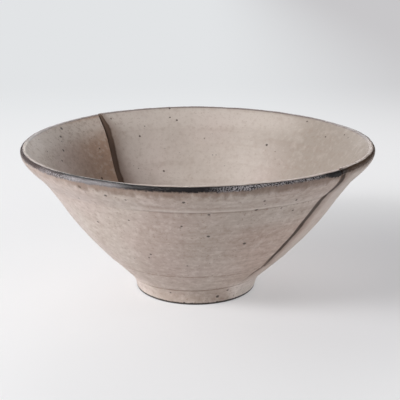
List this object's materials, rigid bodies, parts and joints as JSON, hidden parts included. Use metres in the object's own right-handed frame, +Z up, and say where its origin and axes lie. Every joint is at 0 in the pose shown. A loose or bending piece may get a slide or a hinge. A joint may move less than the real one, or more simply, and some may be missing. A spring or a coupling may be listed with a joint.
{
  "type": "cracked bowl",
  "caption": "Hand-thrown stoneware bowl with a conical wall, a flared band at the rim, a turned foot ring, and a crack that steps down its wall on two opposite sides.",
  "frame": {"origin": "on the rim's axis, at the height of the surface that the foot ring stands on", "axes": "+Z up along the bowl's axis; the picture looks along +Y, with +X to its right"},
  "size_m": [0.2007, 0.1993, 0.0878],
  "materials": {
    "glazed_stoneware": "semi-matt warm grey-beige glaze with faint pink and green drift and dark iron specks, dark brown to black at the rim's edge, with a thin dark line where it ends at the foot"
  },
  "bodies": {
    "root": {"bowl": "glazed_stoneware"}
  },
  "joints": []
}
